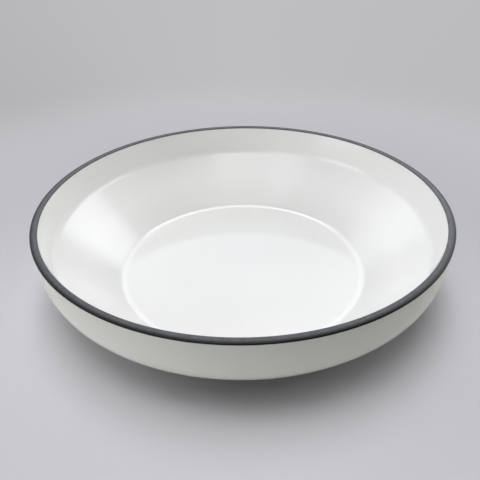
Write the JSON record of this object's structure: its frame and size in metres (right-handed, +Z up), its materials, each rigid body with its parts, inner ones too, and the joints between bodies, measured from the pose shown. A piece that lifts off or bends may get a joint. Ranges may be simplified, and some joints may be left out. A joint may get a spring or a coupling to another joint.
{
  "type": "serving bowl",
  "caption": "Shallow round serving bowl in white glazed stoneware, with an upright wall, a flat well, a charcoal band over the lip and a bare foot ring.",
  "frame": {"origin": "on the bowl's axis, on the surface that the foot ring stands on", "axes": "+Z up along the bowl's axis, out of its mouth; the bowl is the same all round, so +X and +Y are any two square directions"},
  "size_m": [0.23, 0.23, 0.0573],
  "materials": {
    "clay": "matt bare fired clay, fine grain",
    "white_glaze": "glossy white glaze",
    "charcoal_band": "matt charcoal glaze with fine pits and specks"
  },
  "bodies": {
    "root": {"clay_body": "clay", "inside_glaze": "white_glaze", "outside_glaze": "white_glaze", "rim_band": "charcoal_band", "foot_ring": "clay", "base_glaze": "white_glaze"}
  },
  "joints": []
}
